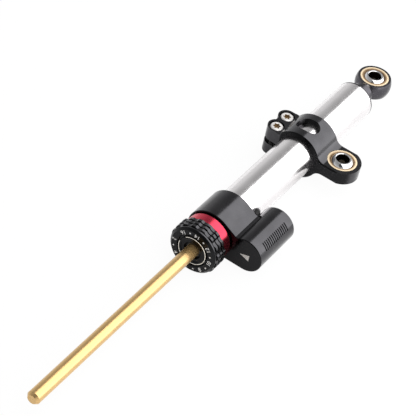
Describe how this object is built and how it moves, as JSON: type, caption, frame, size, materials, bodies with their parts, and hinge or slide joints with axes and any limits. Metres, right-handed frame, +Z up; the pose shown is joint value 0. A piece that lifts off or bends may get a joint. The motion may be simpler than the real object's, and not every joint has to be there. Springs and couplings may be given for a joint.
{
  "type": "motorcycle steering damper",
  "caption": "Tube-and-rod steering damper with a side oil reservoir, click dial, frame clamp with ball joint eye and rod end eye.",
  "frame": {"origin": "centre of the rod eye's ball, on the damper's axis", "axes": "+X along the tube to the free end of the rod, +Z up the bolt bores of both eyes, +Y to the side with the reservoir and the clamp's eye"},
  "size_m": [0.3577, 0.0616, 0.0318],
  "materials": {
    "clear_anodised": "satin, turned",
    "black_anodised": "satin black anodised",
    "red_anodised": "satin red anodised",
    "gold_rod": "polished, gold coloured coating",
    "pale_brass": "turned",
    "chrome_steel": "polished",
    "plain_steel": "ground",
    "screw_steel": "plated",
    "black_steel": "black oxide",
    "spring_steel": "drawn wire and strip",
    "bronze": "sintered",
    "seal_rubber": "moulded",
    "guide_plastic": "filled plastic"
  },
  "bodies": {
    "barrel": {"damper_tube": "clear_anodised", "head_body": "black_anodised", "accent_collar": "red_anodised", "dial_snap_ring": "spring_steel", "gland_nut": "black_anodised", "front_rod_bush": "bronze", "front_rod_seal": "seal_rubber", "front_wiper": "seal_rubber", "gland_o_ring": "seal_rubber", "tube_o_ring": "seal_rubber", "rear_cap": "black_anodised", "rear_rod_bush": "bronze", "rear_rod_seal": "seal_rubber", "rear_wiper": "seal_rubber", "rear_cap_o_ring": "seal_rubber", "head_plug": "black_steel", "reservoir_cap": "black_anodised", "reservoir_cap_o_ring": "seal_rubber", "reservoir_clip": "spring_steel", "reservoir_spring": "spring_steel", "detent_ball": "chrome_steel", "detent_spring": "spring_steel"},
    "rod": {"damper_rod": "gold_rod", "piston": "clear_anodised", "piston_band": "guide_plastic", "piston_shims": "spring_steel", "piston_clips": "spring_steel", "rod_eye_housing": "black_anodised", "rod_eye_race": "pale_brass"},
    "rod_ball": {"rod_eye_ball": "chrome_steel"},
    "clamp": {"clamp_body": "black_anodised", "clamp_eye_race": "pale_brass", "clamp_screws": "screw_steel"},
    "clamp_ball": {"clamp_eye_ball": "chrome_steel"},
    "dial": {"adjuster_knob": "black_anodised"},
    "needle": {"metering_needle": "plain_steel", "needle_o_ring": "seal_rubber"},
    "free_piston": {"reservoir_piston": "clear_anodised", "reservoir_piston_o_ring": "seal_rubber"}
  },
  "joints": [
    {"name": "rod_slide", "type": "slide", "parent": "barrel", "child": "rod", "axis": [-1, 0, 0], "range_m": [0, 0.11]},
    {"name": "rod_ball_tilt", "type": "hinge", "parent": "rod", "child": "rod_ball", "pos_m": [0, 0, 0], "axis": [0, 1, 0], "range_deg": [-13, 13]},
    {"name": "clamp_slide", "type": "slide", "parent": "barrel", "child": "clamp", "axis": [1, 0, 0], "range_m": [-0.044, 0.05]},
    {"name": "clamp_ball_tilt", "type": "hinge", "parent": "clamp", "child": "clamp_ball", "pos_m": [0.082, 0.0255, 0], "axis": [1, 0, 0], "range_deg": [-13, 13]},
    {"name": "dial_turn", "type": "hinge", "parent": "barrel", "child": "dial", "pos_m": [0.1933, 0, 0], "axis": [1, 0, 0], "range_deg": [-135, 202.5]},
    {"name": "needle_slide", "type": "slide", "parent": "barrel", "child": "needle", "axis": [1, 0, 0], "range_m": [-0.00075, 0.0011]},
    {"name": "free_piston_slide", "type": "slide", "parent": "barrel", "child": "free_piston", "axis": [1, 0, 0], "range_m": [0, 0.005]}
  ],
  "couplings": [
    {"joint": "needle_slide", "follows": "dial_turn", "m_per_rad": 0.00030558}
  ]
}
